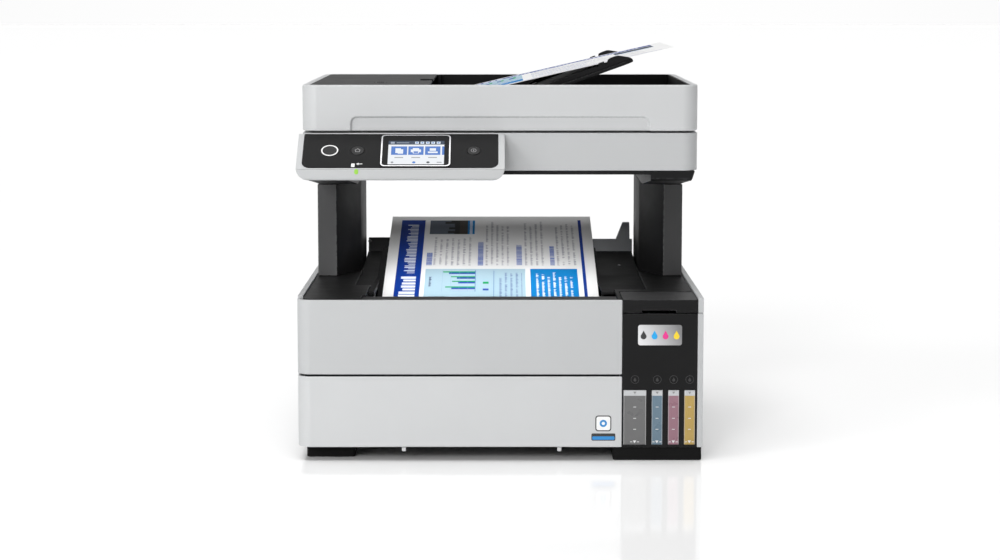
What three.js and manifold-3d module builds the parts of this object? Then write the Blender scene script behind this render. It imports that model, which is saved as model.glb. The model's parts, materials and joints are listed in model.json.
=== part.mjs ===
// Ink-tank all-in-one printer: raised scanner on two columns over an inclined output tray,
// front paper cassette, refillable ink tanks at the right and a document feeder on top.
// Millimetres. X to the right, Y to the back, Z up, origin under the middle of the whole.
// The pieces are drawn with y = 0 at the front face, and the outer group centres them.
import * as THREE from 'three';
import { mergeVertices } from 'three/addons/utils/BufferGeometryUtils.js';
import Module from 'manifold-3d';

const wasm = await Module();
wasm.setup();

// Driving dimensions
const halfWidth = 187.5;          // body, side to side
const depth = 347;                // front face to rear cover
const lidTop = 346;               // top of the document feeder's rim
const gap = 0.3;                  // clearance between touching pieces
const footHeight = 12.7;
const baseBottom = 13;
const cassetteTop = 79.2;
const panelBottom = 81.1;         // upper front panel
const panelTop = 150.4;
const deckTop = 151;              // black top of the base
const rimTop = 152.6;             // white side rims
const wall = 2.5;
const rimWidth = 5.2;
const frontRound = 13;            // left vertical corner of the front panels
const splitX = 112.7;             // front panels end, tank unit begins
const tankTop = 138;              // tank frame's top, under its cover
const tankCoverDepth = 59.2;
const lidHalf = 184.6;
const lidFront = 44;
const lidRound = 15;
const lidBottom = 303.2;
const lidRim = 6.4;
const scanTop = 301.4;
const scanSplit = 266;            // white housing above, black pan below
const columnTop = 242.7;
const coverHalf = 139;            // printer cover between the columns
const coverRear = 331.4;
const sheetWidth = 210;
const sheetLength = 297;
const sheetThick = 0.4;
const outSlope = THREE.MathUtils.degToRad(13);      // printed sheet on its tray
const outLow = { y: 69.2075, z: 127.1 };            // its low edge
const outLeft = -114.2;
const panelTilt = THREE.MathUtils.degToRad(34.5);   // control panel face
const panelFoot = { y: 1.5, z: 271.9 };             // its lower edge
const panelLength = 51.2;
const feedTilt = THREE.MathUtils.degToRad(19.6);    // raised document tray
const feedPivot = { x: -20, z: 317.3 };
const feedLength = 154.5;
const documentSlope = THREE.MathUtils.degToRad(12.95);
const lidMiddle = (lidFront + depth) / 2;
const wholeDepth = outLow.y + sheetLength * Math.cos(outSlope);

const finish = {
  shell: [0xd9dcdd, 0.45, 0],
  black: [0x1c1c1e, 0.5, 0],
  trim: [0x4a4a4c, 0.5, 0],
  panel: [0x2c2d2f, 0.3, 0],
  slate: [0x42464b, 0.5, 0],
  steel: [0xb4b7ba, 0.35, 1],
  glass: [0xb9c6c4, 0.05, 0],
  rubber: [0x2b2b2b, 0.8, 0],
  paper: [0xf4f4f2, 0.8, 0],
  board: [0x1d5a35, 0.6, 0],
  foam: [0xf2f2ee, 0.9, 0],
  button: [0x323335, 0.35, 0],
  inkBlack: [0x6f6f6f, 0.2, 0],
  inkCyan: [0x6d8795, 0.2, 0],
  inkMagenta: [0xa07585, 0.2, 0],
  inkYellow: [0xbfa65a, 0.2, 0],
};

// Solids.
function toSolid(geometry) {
  const bare = geometry.index ? geometry.toNonIndexed() : geometry.clone();
  bare.deleteAttribute('normal');
  bare.deleteAttribute('uv');
  const merged = mergeVertices(bare, 1e-4);
  const vertProperties = new Float32Array(merged.attributes.position.array);
  const triVerts = new Uint32Array(merged.index.array);
  return new wasm.Manifold(new wasm.Mesh({ numProp: 3, vertProperties, triVerts }));
}

function fromSolid(solid) {
  const data = solid.getMesh();
  const geometry = new THREE.BufferGeometry();
  geometry.setAttribute('position', new THREE.BufferAttribute(data.vertProperties, 3));
  geometry.setIndex(new THREE.BufferAttribute(data.triVerts, 1));
  return geometry;
}

const join = (...solids) => solids.reduce((sum, solid) => sum.add(solid));
const cut = (solid, ...tools) => tools.reduce((rest, tool) => rest.subtract(tool), solid);

function box(x0, x1, y0, y1, z0, z1) {
  const geometry = new THREE.BoxGeometry(x1 - x0, y1 - y0, z1 - z0);
  geometry.translate((x0 + x1) / 2, (y0 + y1) / 2, (z0 + z1) / 2);
  return toSolid(geometry);
}

// An outline swept along an axis: (y, z) along x, (x, z) along y, or (x, y) along z.
const sweepMatrix = {
  x: (from) => new THREE.Matrix4().set(0, 0, 1, from, 1, 0, 0, 0, 0, 1, 0, 0, 0, 0, 0, 1),
  y: (from, to) => new THREE.Matrix4().set(1, 0, 0, 0, 0, 0, -1, to, 0, 1, 0, 0, 0, 0, 0, 1),
  z: (from) => new THREE.Matrix4().makeTranslation(0, 0, from),
};

function sweep(axis, shape, from, to, matrix = null, curveSegments = 5) {
  const options = { depth: to - from, bevelEnabled: false, curveSegments };
  const geometry = new THREE.ExtrudeGeometry(shape, options);
  geometry.applyMatrix4(sweepMatrix[axis](from, to));
  if (matrix) {
    geometry.applyMatrix4(matrix);
  }
  return toSolid(geometry);
}

function polygon(points) {
  return new THREE.Shape(points.map(([u, v]) => new THREE.Vector2(u, v)));
}

// Rectangle with radii at [low-left, low-right, high-right, high-left].
function roundRect(u0, u1, v0, v1, radii) {
  const [a, b, c, d] = Array.isArray(radii) ? radii : [radii, radii, radii, radii];
  const half = Math.PI / 2;
  const shape = new THREE.Shape();
  shape.moveTo(u0 + a, v0);
  shape.lineTo(u1 - b, v0);
  if (b) shape.absarc(u1 - b, v0 + b, b, -half, 0, false);
  shape.lineTo(u1, v1 - c);
  if (c) shape.absarc(u1 - c, v1 - c, c, 0, half, false);
  shape.lineTo(u0 + d, v1);
  if (d) shape.absarc(u0 + d, v1 - d, d, half, 2 * half, false);
  shape.lineTo(u0, v0 + a);
  if (a) shape.absarc(u0 + a, v0 + a, a, 2 * half, 3 * half, false);
  return shape;
}

// A turned piece: [radius, place] steps from end to end along an axis through a centre.
function turned(axis, centre, steps, sides = 24) {
  const profile = [new THREE.Vector2(0, steps[0][1])];
  steps.forEach(([radius, place]) => profile.push(new THREE.Vector2(radius, place)));
  profile.push(new THREE.Vector2(0, steps[steps.length - 1][1]));
  const geometry = new THREE.LatheGeometry(profile, sides);
  if (axis === 'x') geometry.rotateZ(-Math.PI / 2);
  if (axis === 'z') geometry.rotateX(Math.PI / 2);
  geometry.translate(...centre);
  return toSolid(geometry);
}

// Scene graph.
const printer = new THREE.Group();

function addTo(group, name, solid, look) {
  const [color, roughness, metalness] = finish[look];
  const material = new THREE.MeshStandardMaterial({ color, roughness, metalness });
  const mesh = new THREE.Mesh(fromSolid(solid), material);
  mesh.name = name;
  group.add(mesh);
  return mesh;
}

const add = (name, solid, look) => addTo(printer, name, solid, look);

// Base shells.
// The front panels turn the left corner and end where the side panel begins.
const frontReturn = 16;

function frontPanelShape() {
  const left = -halfWidth;
  const centre = left + frontRound;
  const shape = new THREE.Shape();
  shape.moveTo(splitX, 0);
  shape.lineTo(splitX, 3);
  shape.lineTo(centre, 3);
  shape.absarc(centre, frontRound, frontRound - 3, -Math.PI / 2, -Math.PI, true);
  shape.lineTo(left + 3, frontReturn);
  shape.lineTo(left, frontReturn);
  shape.lineTo(left, frontRound);
  shape.absarc(centre, frontRound, frontRound, Math.PI, 1.5 * Math.PI, false);
  return shape;
}

add('front_panel', sweep('z', frontPanelShape(), panelBottom, panelTop, null, 8), 'shell');

function sidePanelShape(side) {
  const inner = halfWidth - rimWidth;
  const skin = halfWidth - 2.6;
  const points = [[skin, baseBottom], [halfWidth, baseBottom], [halfWidth, rimTop],
    [inner, rimTop], [inner, 145], [skin, 142]];
  return polygon(side > 0 ? points : points.map(([x, z]) => [-x, z]).reverse());
}

add('left_side_panel', sweep('y', sidePanelShape(-1), frontReturn + 0.4, depth - gap), 'shell');
const rightFrontPost = box(halfWidth - rimWidth, halfWidth, 0, 6, baseBottom, tankTop);
const coverNotch = box(150, 200, -1, tankCoverDepth + gap, tankTop, 160);
add('right_side_panel', join(cut(sweep('y', sidePanelShape(1), 0, depth - gap), coverNotch),
  rightFrontPost), 'shell');

add('front_lip', box(-128, 108.5, 3.4, 30, 147.5, 150), 'trim');

// Black deck around the printer cover, with a low wall at its back left.
const deckHalf = 181.9;
const deckRear = 344.4;
const supportSlot = box(39.3, 140.2, 333.7, 341.8, 140, 160);
const rearWall = sweep('x', polygon([[333.3, 149], [deckRear, 149], [deckRear, 173.5],
  [340.5, 173.5], [333.3, 152]]), -coverHalf, 38);
const deckPlate = sweep('z', roundRect(-deckHalf, deckHalf, 3.4, deckRear, [10, 0, 0, 0]), 148.5,
  deckTop);
add('base_top_frame', cut(join(cut(deckPlate,
  box(-128.3, 108.8, 0, 30.3, 140, 160), box(-125.2, 108.8, 30, 110, 140, 160),
  box(100, coverHalf + 0.6, 75.6, 110, 140, 160),
  box(-coverHalf - 0.6, coverHalf + 0.6, 109.6, 331.9, 140, 160),
  box(splitX - 0.3, 190, 0, tankCoverDepth + 0.4, 140, 160)), rearWall), supportSlot), 'black');

// Lower tray: floor, cassette bay walls, deck over the cassette, outer and rear walls.
const bayLeft = -121;
const bayRight = 109.2;
const bayRoof = 74.4;
const chassisRear = 344.4;
add('base_chassis', cut(join(
  box(-181.9, 111.4, 22, chassisRear, baseBottom, 15.4),
  box(111, 181.9, 82, chassisRear, baseBottom, 15.4),
  box(bayLeft, bayLeft + 2, 22, chassisRear, 15, 73),
  box(bayRight, bayRight + 2.2, 22, chassisRear, 15, 73),
  box(-181.9, 111.4, 22, chassisRear, 72, bayRoof),
  box(-181.9, -179.9, 22, chassisRear, 15, 148.2),
  box(179.9, 181.9, 82, chassisRear, 15, 148.2),
  box(-181.9, 181.9, 342.4, chassisRear, 15, 148.2),
), box(-32, 22, 274, 305, 65, 90), box(-166, -136, 340, 350, 24, 46)), 'black');

add('rear_cover', cut(box(-181.9, 181.9, 344.8, depth, baseBottom, 148),
  box(-166, -136, 340, 350, 24, 46),
  ...[0, 1, 2, 3, 4, 5, 6].map((i) => box(60 + 14 * i, 68 + 14 * i, 346, 350, 90, 130)),
), 'black');
add('power_inlet', cut(box(-165.7, -136.3, 338, 346.8, 24.3, 45.7),
  sweep('y', roundRect(-162.5, -139.5, 28, 42, [2, 2, 6, 6]), 341, 348, null, 3)), 'black');

const footPlaces = {
  foot_front_left: [-180.5, -135.6, 20, 60],
  foot_front_right: [104.8, 187, 4, 62],
  foot_rear_left: [-180.5, -135.6, 296, 336],
  foot_rear_right: [135.6, 180.5, 296, 336],
};
for (const [name, [x0, x1, y0, y1]] of Object.entries(footPlaces)) {
  add(name, sweep('z', roundRect(x0, x1, y0, y1, 3), 0, footHeight, null, 3), 'rubber');
}

// Columns.
function columnSolid(side) {
  const turn = (points) => polygon(points.map(([x, y]) => [side * x, y]));
  const outer = turn([[180.8, 183.3], [180.8, 330], [140.6, 330], [140.6, 229], [162, 183.3]]);
  const inner = turn([[178.3, 185.8], [178.3, 327.5], [143.1, 327.5], [143.1, 229.6],
    [163.6, 185.8]]);
  return cut(sweep('z', outer, deckTop + gap, columnTop),
    sweep('z', inner, deckTop + gap + wall, columnTop + 1));
}

add('left_column', columnSolid(-1), 'black');
add('right_column', columnSolid(1), 'black');

// Scanner.
// Black pan, low at the back where it stands on the columns.
const panHalf = 182;
const panFoot = columnTop + gap;
const shallowHalf = 140.5;        // shallow between the columns
const shallowPan = polygon([[46, scanSplit], [46, 262.6], [178, 252.8], [345, 252.8],
  [345, scanSplit]]);
const deepPan = polygon([[46, scanSplit], [46, 258.5], [50, 256.4], [181, panFoot],
  [345, panFoot], [345, scanSplit]]);
const panSection = polygon([[-panHalf, scanSplit], [-178.6, 255], [-178.6, 240], [178.6, 240],
  [178.6, 255], [panHalf, scanSplit]]);
const shallowInner = polygon([[49, 270], [49, 265], [179, 255.4], [342.5, 255.4], [342.5, 270]]);
const deepInner = polygon([[49, 270], [49, 260.6], [53, 259.2], [184, 245.8], [342.5, 245.8],
  [342.5, 270]]);
const deepEnds = [-1, 1].map((side) => {
  const [near, far] = side > 0 ? [shallowHalf, panHalf] : [-panHalf, -shallowHalf];
  const [in0, in1] = side > 0 ? [shallowHalf + 2.5, 176] : [-176, -shallowHalf - 2.5];
  return cut(sweep('x', deepPan, near, far), sweep('x', deepInner, in0, in1));
});
add('scanner_base', join(
  cut(sweep('x', shallowPan, -shallowHalf - 0.5, shallowHalf + 0.5),
    sweep('x', shallowInner, -shallowHalf + 2, shallowHalf - 2)),
  ...deepEnds,
).intersect(sweep('y', panSection, 0, depth)), 'black');

const housingOuter = roundRect(-lidHalf, lidHalf, lidFront, depth, lidRound);
const housingInner = roundRect(-lidHalf + wall, lidHalf - wall, lidFront + wall, depth - wall,
  lidRound - wall);
const scanWindow = box(-150, 150, 78, 296, 290, 310);
const stripWindow = box(-172, -158, 84, 290, 290, 310);
add('scanner_housing', cut(sweep('z', housingOuter, scanSplit + gap, scanTop),
  sweep('z', housingInner, 260, scanTop - wall), scanWindow, stripWindow), 'shell');
add('scanner_glass', box(-176, 156, 70, 304, 295.6, scanTop - wall - gap), 'glass');
add('scan_carriage', join(box(-174, -152, 62, 328, 270, 290),
  box(-166, -160, 66, 324, 289, 294.5)), 'black');

// Control panel.
const panelLeft = -187;
const panelRight = 4.5;
const tiltMatrix = new THREE.Matrix4().makeRotationX(panelTilt);
tiltMatrix.setPosition(0, panelFoot.y, panelFoot.z);
const face = { x0: -181.4, x1: -1.8, y0: 0.6, y1: panelLength - 0.6, thick: 2.2 };
const display = { x0: -110, x1: -45.4, y0: 1.4, y1: 48.4, rise: 0.9 };
const buttonRow = 25.3;
const buttons = {
  power_button: { x: -157, radius: 8 },
  home_button: { x: -131.3, radius: 6.2 },
  help_button: { x: -24.3, radius: 6.2 },
};

const panelProfile = polygon([[lidFront - gap, 300.9], [lidFront - gap, 262.2], [20, 261],
  [2.4, 260.5], [0.6, 261.6], [0, 263.4], [0, 270.4], [panelFoot.y, panelFoot.z]]);
const panelOutline = roundRect(panelLeft, panelRight, 260.4, 320, [12, 12, 0, 0]);
const faceSeat = sweep('z', roundRect(face.x0 - gap, face.x1 + gap, face.y0 - gap,
  face.y1 + 5, [7.8, 7.8, 0, 0]), -face.thick - gap, 5, tiltMatrix);
const panelHollow = sweep('z', roundRect(-176, -8, 8, 42, 2), -12, 0, tiltMatrix);
add('control_panel_shell', cut(sweep('x', panelProfile, panelLeft, panelRight)
  .intersect(sweep('y', panelOutline, -5, 60)), faceSeat, panelHollow), 'shell');

const panelGroup = new THREE.Group();
panelGroup.position.set(0, panelFoot.y, panelFoot.z);
panelGroup.rotation.x = panelTilt;
printer.add(panelGroup);

const buttonHole = ({ x, radius }) => turned('z', [x, buttonRow, 0],
  [[radius + gap, -5], [radius + gap, 5]]);
const faceShape = roundRect(face.x0, face.x1, face.y0, face.y1, [7.5, 7.5, 0.5, 0.5]);
const displayHole = roundRect(display.x0 - gap, display.x1 + gap, display.y0 - gap,
  display.y1 + gap, 4.3);
const faceSlab = sweep('x', polygon([[face.y0 - 1, -face.thick], [panelLength - 3, -face.thick],
  [face.y1, 0], [face.y0 - 1, 0]]), face.x0, face.x1);
const faceSolid = cut(sweep('z', faceShape, -face.thick, 0).intersect(faceSlab),
  sweep('z', displayHole, -0.8, 5), ...Object.values(buttons).map(buttonHole));
addTo(panelGroup, 'panel_face', faceSolid, 'panel');
addTo(panelGroup, 'display_module', sweep('z', roundRect(display.x0, display.x1, display.y0,
  display.y1, 4), -0.5, display.rise), 'panel');
for (const [name, { x, radius }] of Object.entries(buttons)) {
  const steps = [[radius, -3.4], [radius, 0.2], [radius - 0.5, 0.5]];
  addTo(panelGroup, name, turned('z', [x, buttonRow, 0], steps), 'button');
}

// Document cover with its feeder.
const lidRear = depth;
const lidOuter = roundRect(-lidHalf, lidHalf, lidFront, lidRear, lidRound);
const lidInner = roundRect(-lidHalf + lidRim, lidHalf - lidRim, lidFront + lidRim,
  lidRear - lidRim, lidRound - lidRim);
const lidGrip = sweep('y', roundRect(-138.6, 138.6, 290, 316.2, [0, 0, 5.6, 5.6]),
  lidFront - 5, lidFront + 3);
add('feeder_lid_shell', cut(sweep('z', lidOuter, lidBottom, lidTop),
  sweep('z', lidInner, lidBottom - 1, lidTop + 1), lidGrip), 'shell');

// Dark tray inside the rim: a floor, a low wall under the feed slot, and outer walls.
const wellX = lidHalf - lidRim - gap;
const wellFront = lidFront + lidRim + gap;
const wellRear = lidRear - lidRim - gap;
const wellFloor = 309.3;
const slotWallTop = 322;
const wellRound = lidRound - lidRim - gap;
const wellShape = roundRect(-wellX, wellX, wellFront, wellRear, wellRound);
const wellBody = join(sweep('z', wellShape, 306.8, 342.6),
  cut(sweep('z', wellShape, 340, lidTop - 0.3), box(-200, -66.2, 0, 400, 342.6, 360)));
const wellHollow = sweep('z', roundRect(-62, wellX - 2, wellFront + 2, wellRear - 2, 3),
  wellFloor, 350);
const feederHollow = sweep('z', roundRect(-wellX + 2, -64.5, wellFront + 2, wellRear - 2, 3),
  wellFloor, 350);
const feedSlot = box(-70, -58, wellFront + 14, wellRear - 14, slotWallTop, 350);
add('document_output_tray', cut(wellBody, wellHollow, feederHollow, feedSlot), 'panel');
add('lid_pad', box(-172, 172, 62, 330, 302, 306.5), 'foam');

const feederTop = lidTop - 0.1;
const feederCoverRight = -66.5;
const coverNotchShape = roundRect(feederCoverRight - 12.5, feederCoverRight + 5, 166, 206, 4);
const coverRibs = [0, 1, 2, 3, 4].map((i) => box(-172, -74, 96 + 40 * i, 98 + 40 * i, 338, 344));
add('feeder_cover', cut(join(sweep('z', roundRect(-wellX, feederCoverRight, wellFront, wellRear,
  [wellRound, 1, 1, wellRound]), 343.2, feederTop), ...coverRibs),
sweep('z', coverNotchShape, 330, 350)), 'black');
add('feeder_roller', turned('y', [-100, lidMiddle, 326],
  [[3, -60], [3, -32], [9, -32], [9, 32], [3, 32], [3, 60]]), 'rubber');

// Document tray, raised about its pivot; x runs up the slope from the pivot.
const feedGroup = new THREE.Group();
feedGroup.position.set(feedPivot.x, 0, feedPivot.z);
feedGroup.rotation.y = -feedTilt;
printer.add(feedGroup);
const trayThick = 3;
const trayFront = 82;
const trayRear = 2 * lidMiddle - trayFront;
const trayHook = turned('y', [0, lidMiddle, -1.5], [[3.2, trayFront - lidMiddle],
  [3.2, trayRear - lidMiddle]], 16);
const guideSlot = (y0, y1) => box(56, 62, y0, y1, -5, 5);
addTo(feedGroup, 'document_tray', cut(join(sweep('z', roundRect(0, feedLength, trayFront,
  trayRear, [0, 14, 14, 0]), -trayThick, 0), trayHook),
guideSlot(96, 180), guideSlot(211, 295)), 'panel');

// Edge guides: a low blade, a small block and a tall block, on a foot that sits on the tray.
const documentHalf = sheetWidth / 2;
const guideThick = 3;

function guideSolid(side) {
  const inner = lidMiddle + side * (documentHalf + 0.6);
  const outer = inner + side * guideThick;
  const [y0, y1] = [Math.min(inner, outer), Math.max(inner, outer)];
  const blade = sweep('y', polygon([[44, 0.3], [150, 0.3], [153, 1.6], [149, 4], [143.5, 7],
    [141, 7.8], [135, 7.8], [132, 7.2], [129.6, 3.4], [128.4, 3.4], [127.6, 6.8], [122.4, 6.8],
    [121.6, 3.4], [120.8, 3.4], [120, 4.6], [62, 4.6]]), y0, y1);
  const reach = lidMiddle + side * (documentHalf - 26);
  const foot = box(56.6, 61.4, Math.min(reach, outer), Math.max(reach, outer), 0.3, 1.4);
  return join(blade, foot);
}

addTo(feedGroup, 'document_guide_front', guideSolid(-1), 'black');
addTo(feedGroup, 'document_guide_rear', guideSolid(1), 'black');

// Sheet waiting to be scanned, lying from the feed slot to the tray's tip.
const documentGroup = new THREE.Group();
documentGroup.position.set(164.4, 0, 380.1);
documentGroup.rotation.y = -documentSlope;
printer.add(documentGroup);
const documentReach = 243;
addTo(documentGroup, 'document_sheet', box(-documentReach, 0, lidMiddle - documentHalf,
  lidMiddle + documentHalf, -sheetThick / 2, sheetThick / 2), 'paper');

// Printer cover with the inclined output tray.
const onSheet = (y) => outLow.z + (y - outLow.y) * Math.tan(outSlope);
const flankTop = 150.6;
const flankCrease = 205;
const flankRear = 160;
const trayLeft = -121;
const trayRight = 98;
const trayFloorFront = 68;
const plateRear = 262;            // full-width plate ends, platform goes on

const flankAt = (y) => flankTop
  + Math.max(0, y - flankCrease) * (flankRear - flankTop) / (coverRear - flankCrease);

function flankSolid(x0, x1, y0) {
  const places = y0 < flankCrease ? [y0, flankCrease, coverRear] : [y0, coverRear];
  const under = places.map((y) => [y, flankAt(y) - 2.6]);
  const over = places.map((y) => [y, flankAt(y)]).reverse();
  return sweep('x', polygon([...under, ...over]), x0, x1);
}

function inclinedPlate(x0, x1, y0, y1, under, thick) {
  return sweep('x', polygon([[y0, onSheet(y0) - under - thick], [y1, onSheet(y1) - under - thick],
    [y1, onSheet(y1) - under], [y0, onSheet(y0) - under]]), x0, x1);
}

// Side walls: down from the flank to the plate in front, up from the flank to it behind.
function trayWall(x0, x1) {
  const under = 3.4;
  const meet = outLow.y + (flankTop - outLow.z) / Math.tan(outSlope);
  const front = polygon([[60, 143], [trayFloorFront, onSheet(trayFloorFront) - under],
    [meet + 1, onSheet(meet + 1) - under], [meet + 1, flankTop - 0.2], [60, flankTop - 0.2]]);
  const back = polygon([[meet, flankTop - 2.4], [plateRear, flankAt(plateRear) - 2.4],
    [plateRear, onSheet(plateRear) - 1], [meet, onSheet(meet) - 1]]);
  return join(sweep('x', front, x0, x1), sweep('x', back, x0, x1));
}

const platform = { x0: -104, x1: 82 };
const platformSolid = sweep('x', polygon([[240, onSheet(240) - 3.2], [coverRear, flankRear - 2.6],
  [coverRear, onSheet(coverRear) - 0.6], [240, onSheet(240) - 0.6]]), platform.x0, platform.x1);
const platformHollow = sweep('x', polygon([[plateRear, onSheet(plateRear) - 7], [coverRear - 2.4, 150],
  [coverRear - 2.4, onSheet(coverRear - 2.4) - 3.1], [plateRear, onSheet(plateRear) - 3.1]]),
platform.x0 + 2.5, platform.x1 - 2.5);
add('printer_cover', join(
  flankSolid(-coverHalf, trayLeft + 2, 110.2),
  flankSolid(-124.6, trayLeft + 2, 60),
  flankSolid(trayRight - 2, 108.2, 60),
  flankSolid(108, coverHalf, 76.2),
  cut(flankSolid(trayLeft, trayRight, plateRear), box(-101.5, 79.5, 264, 329, 140, 170)),
  trayWall(trayLeft, trayLeft + 2),
  trayWall(trayRight - 2, trayRight),
  inclinedPlate(trayLeft, trayRight, trayFloorFront, plateRear, 0.6, 2.6),
  cut(platformSolid, platformHollow),
), 'black');

const sheetGroup = new THREE.Group();
sheetGroup.position.set(0, outLow.y, outLow.z);
sheetGroup.rotation.x = outSlope;
printer.add(sheetGroup);
addTo(sheetGroup, 'printed_sheet', box(outLeft, outLeft + sheetWidth, 0, sheetLength,
  -sheetThick / 2, sheetThick / 2), 'paper');

// Paper support that pulls up at the back right, with an upright fin.
add('output_support', join(box(40, 139.6, 334.2, 336.6, 122, 172.7),
  sweep('x', polygon([[334.2, 122], [341.4, 122], [341.4, 190], [338.6, 190], [334.2, 177]]),
    120, 139).intersect(sweep('y', polygon([[121, 120], [137.4, 120], [136.8, 192], [129.5, 192],
    [129.5, 190], [122.6, 172.7], [121, 150]]), 330, 345))), 'slate');

// Paper cassette.
const pegs = [-91, 53].map((x) => box(x, x + 4, 0.6, 4, 9, 20));
add('cassette_front', join(sweep('z', frontPanelShape(), baseBottom, cassetteTop, null, 8), ...pegs),
  'shell');
const cassette = { x0: -117.5, x1: 107.5, y0: 4.4, y1: 300, z0: 16.2, z1: 64 };
add('cassette_tray', cut(box(cassette.x0, cassette.x1, cassette.y0, cassette.y1, cassette.z0,
  cassette.z1), box(cassette.x0 + 2, cassette.x1 - 2, cassette.y0 + 2.4, cassette.y1 - 2,
  cassette.z0 + 2, 80)), 'black');
const guidePlate = (x0, x1, foot0, foot1) => join(box(x0, x1, 110, 230, 18.6, 54),
  box(foot0, foot1, 160, 180, 18.6, 20.2));
add('cassette_guide_left', guidePlate(-113, -110.5, -113, -64), 'slate');
add('cassette_guide_right', guidePlate(100.5, 103, 54, 103), 'slate');

// Paper path and print mechanism.
function rollerSteps(half, count, shaft, radius, width) {
  const pitch = (2 * half - width) / (count - 1);
  const steps = [[shaft, -half - 3]];
  for (let i = 0; i < count; i += 1) {
    const start = -half + i * pitch;
    steps.push([shaft, start], [radius, start], [radius, start + width], [shaft, start + width]);
  }
  steps.push([shaft, half + 3]);
  return steps;
}

const pathMiddle = outLeft + sheetWidth / 2;
add('exit_roller', turned('x', [pathMiddle, 52, 119], rollerSteps(98, 5, 3, 7, 16), 16), 'rubber');
add('feed_roller', turned('x', [pathMiddle, 206, 89], [[3, -112], [3, -104], [6.5, -104],
  [6.5, 104], [3, 104], [3, 112]]), 'rubber');
add('pick_roller', turned('x', [-5, 289, 76.4], [[2.5, -24], [2.5, -15], [9, -15], [9, 15],
  [2.5, 15], [2.5, 24]]), 'rubber');
add('platen', join(box(-140, 118, 216, 272, bayRoof + gap, 84), ...[0, 1, 2, 3, 4, 5, 6].map((i) => (
  box(-112 + 34 * i, -110 + 34 * i, 222, 270, 83.5, 87)))), 'black');
add('print_carriage', join(box(56, 128, 234, 291, 91, 132), box(62, 122, 226, 292, 89, 106),
  box(70, 114, 286, 292.6, 108, 124)), 'black');
add('carriage_rail', join(box(-178, 178, 300.4, 302.4, 92, 140),
  box(-178, 178, 300.4, 308, 138, 140)), 'steel');

const beltLine = { x0: -160, x1: 158, z: 116, y0: 293.4, y1: 298.4, radius: 8 };

function beltShape(radius) {
  const shape = new THREE.Shape();
  shape.moveTo(beltLine.x0, beltLine.z - radius);
  shape.lineTo(beltLine.x1, beltLine.z - radius);
  shape.absarc(beltLine.x1, beltLine.z, radius, -Math.PI / 2, Math.PI / 2, false);
  shape.lineTo(beltLine.x0, beltLine.z + radius);
  shape.absarc(beltLine.x0, beltLine.z, radius, Math.PI / 2, 1.5 * Math.PI, false);
  return shape;
}

add('carriage_belt', cut(sweep('y', beltShape(beltLine.radius + 1.2), beltLine.y0, beltLine.y1,
  null, 8), sweep('y', beltShape(beltLine.radius), beltLine.y0 - 1, beltLine.y1 + 1, null, 8)),
'rubber');
const beltMiddle = (beltLine.y0 + beltLine.y1) / 2;
add('drive_pulley', turned('y', [beltLine.x0, beltMiddle, beltLine.z],
  [[7.4, -2.4], [7.4, 2.4], [2.5, 2.4], [2.5, 4]]), 'steel');

// Boards and power.
add('main_board', join(box(176.4, 178, 110, 300, 40, 132), box(168, 177, 130, 160, 60, 90),
  box(171, 177, 200, 226, 70, 96), box(166, 177, 250, 290, 46, 60)), 'board');
add('power_supply', cut(box(-177, -126, 226, 336, 17, 62),
  ...[0, 1, 2, 3, 4, 5].map((i) => box(-140, -120, 236 + 15 * i, 243 + 15 * i, 26, 54))), 'steel');

// Ink tanks.
const window = { z0: 15, z1: 66.6 };
const tanks = {
  black: { x0: 113.9, x1: 135.4, look: 'inkBlack' },
  cyan: { x0: 140, x1: 150.6, look: 'inkCyan' },
  magenta: { x0: 155.2, x1: 165.8, look: 'inkMagenta' },
  yellow: { x0: 170.1, x1: 180.6, look: 'inkYellow' },
};
const tankBack = 76;
const tankBody = 104;
const neckY = 27;
const neckTop = 116;
const frameLeft = splitX + 0.4;
const frameRight = halfWidth - rimWidth - gap;
const windows = Object.values(tanks).map(({ x0, x1 }) => (
  sweep('y', roundRect(x0, x1, window.z0, window.z1, 0.6), -2, 10, null, 2)));
add('ink_tank_frame', cut(join(box(frameLeft, frameRight, 0.3, 3, baseBottom, tankTop - gap),
  box(frameLeft, frameRight, 2, 80, baseBottom, 14.4),
  box(frameLeft, frameRight, 77.6, 80, 14, 112)), ...windows), 'black');

for (const [ink, { x0, x1, look }] of Object.entries(tanks)) {
  const middle = (x0 + x1) / 2;
  const body = box(x0 - 0.2, x1 + 0.3, 3.3, tankBack, window.z0 + 0.3, tankBody);
  const pane = box(x0 + gap, x1 - gap, 0.9, 3.4, window.z0 + gap, window.z1 - gap);
  const neck = turned('z', [middle, neckY, 0], [[3.8, tankBody - 1], [3.8, neckTop]], 16);
  add(`ink_tank_${ink}`, join(body, pane, neck), look);
  const capShape = roundRect(middle - 5, middle + 5, neckY - 6.5, 44, [4, 4, 1, 1]);
  const knuckle = turned('x', [middle, 43, neckTop + 2.4], [[2, -5], [2, 5]], 12);
  add(`tank_cap_${ink}`, join(sweep('z', capShape, neckTop + gap, neckTop + 3.6, null, 3), knuckle),
    look);
}

// Cover over the fillers, hinged at its back edge; its right edge is the white side rim.
const coverLow = tankTop + 0.5;
const coverTop = 150.6;
const coverX1 = halfWidth - rimWidth;
const coverFront = 0.3;
add('ink_tank_cover', cut(join(
  box(frameLeft, coverX1 + 0.2, coverFront, tankCoverDepth, coverTop - wall, coverTop),
  box(frameLeft, coverX1 + 0.2, coverFront, wall, coverLow, coverTop),
  box(frameLeft, frameLeft + 1.6, coverFront, tankCoverDepth - 4, coverLow + 4, coverTop),
  box(coverX1, halfWidth, 0, tankCoverDepth, coverLow, rimTop),
), sweep('y', polygon([[129.5, 120], [163.4, 120], [162, coverLow + 2.2],
  [131, coverLow + 2.2]]), -3, 6)), 'black');

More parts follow.
